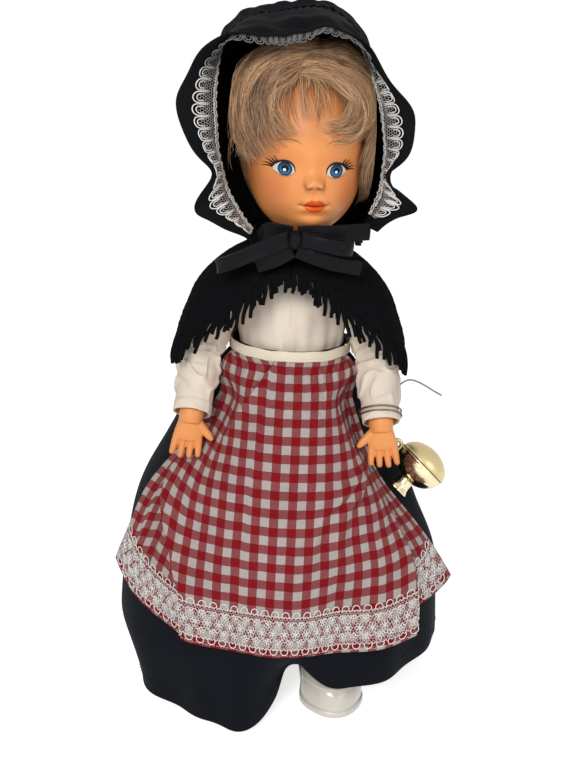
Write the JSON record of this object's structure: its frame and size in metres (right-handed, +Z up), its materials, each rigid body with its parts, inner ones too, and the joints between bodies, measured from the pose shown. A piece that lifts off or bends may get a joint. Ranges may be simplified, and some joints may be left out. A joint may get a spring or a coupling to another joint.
{
  "type": "folk costume doll",
  "caption": "Standing jointed doll in folk costume: ruffled bonnet, fringed shawl, blouse, gingham apron over a full skirt, with a milk jug wired to the wrist.",
  "frame": {"origin": "centre of the bounding box at floor level, under the doll", "axes": "+Z up, the doll faces -Y, +X is toward its left hand"},
  "size_m": [0.1958, 0.1714, 0.4017],
  "materials": {
    "vinyl": "soft satin vinyl, painted face",
    "body_plastic": "blow-moulded",
    "hair": "synthetic fibre",
    "black_cotton": "plain weave",
    "black_ribbon": "satin ribbon",
    "black_knit": "crocheted yarn",
    "white_cotton": "plain weave",
    "gingham": "woven red and white check",
    "white_lace": "machine lace",
    "white_plastic": "glossy moulded",
    "wire": "dark tarnished",
    "brass": "worn, scratched"
  },
  "bodies": {
    "body": {"torso": "body_plastic", "blouse": "white_cotton", "shawl": "black_knit", "shawl_fringe": "black_knit", "skirt": "black_cotton", "skirt_band": "black_cotton", "apron": "gingham", "apron_lace": "white_lace", "apron_tape": "white_cotton", "apron_tie": "white_cotton"},
    "head": {"head": "vinyl", "hair_cap": "hair", "hair_fringe": "hair", "hair_lock_left": "hair", "hair_lock_right": "hair", "bonnet_crown": "black_cotton", "bonnet_brim": "black_cotton", "bonnet_lace": "white_lace", "bonnet_tie_left": "black_ribbon", "bonnet_tie_right": "black_ribbon", "bow_knot": "black_ribbon", "bow_loop_left": "black_ribbon", "bow_loop_right": "black_ribbon", "bow_tail_left": "black_ribbon", "bow_tail_right": "black_ribbon"},
    "left_arm": {"left_arm": "vinyl", "left_sleeve": "white_cotton", "wrist_wire": "wire"},
    "right_arm": {"right_arm": "vinyl", "right_sleeve": "white_cotton"},
    "left_leg": {"left_leg": "body_plastic", "left_sock": "white_cotton", "left_shoe": "white_plastic"},
    "right_leg": {"right_leg": "body_plastic", "right_sock": "white_cotton", "right_shoe": "white_plastic"},
    "jug": {"jug_base": "brass", "jug_shoulder": "brass", "jug_ring": "brass"}
  },
  "joints": [
    {"name": "head_turn", "type": "hinge", "parent": "body", "child": "head", "pos_m": [0, 0, 0.2825], "axis": [0, 0, 1], "range_deg": [-45, 45]},
    {"name": "left_arm_swing", "type": "hinge", "parent": "body", "child": "left_arm", "pos_m": [0.03, 0, 0.243], "axis": [-0.9945, 0, 0.1045], "range_deg": [0, 75], "deforming": ["shawl", "shawl_fringe"]},
    {"name": "right_arm_swing", "type": "hinge", "parent": "body", "child": "right_arm", "pos_m": [-0.03, 0, 0.243], "axis": [-0.9945, 0, -0.1045], "range_deg": [0, 75], "deforming": ["shawl", "shawl_fringe"]},
    {"name": "left_leg_swing", "type": "hinge", "parent": "body", "child": "left_leg", "pos_m": [0.015, 0, 0.165], "axis": [-1, 0, 0], "range_deg": [-12, 2]},
    {"name": "right_leg_swing", "type": "hinge", "parent": "body", "child": "right_leg", "pos_m": [-0.015, 0, 0.165], "axis": [-1, 0, 0], "range_deg": [-12, 2]},
    {"name": "jug_swing", "type": "hinge", "parent": "left_arm", "child": "jug", "pos_m": [0.06521, -0.013, 0.15719], "axis": [0, -1, 0], "range_deg": [0, 40]}
  ]
}
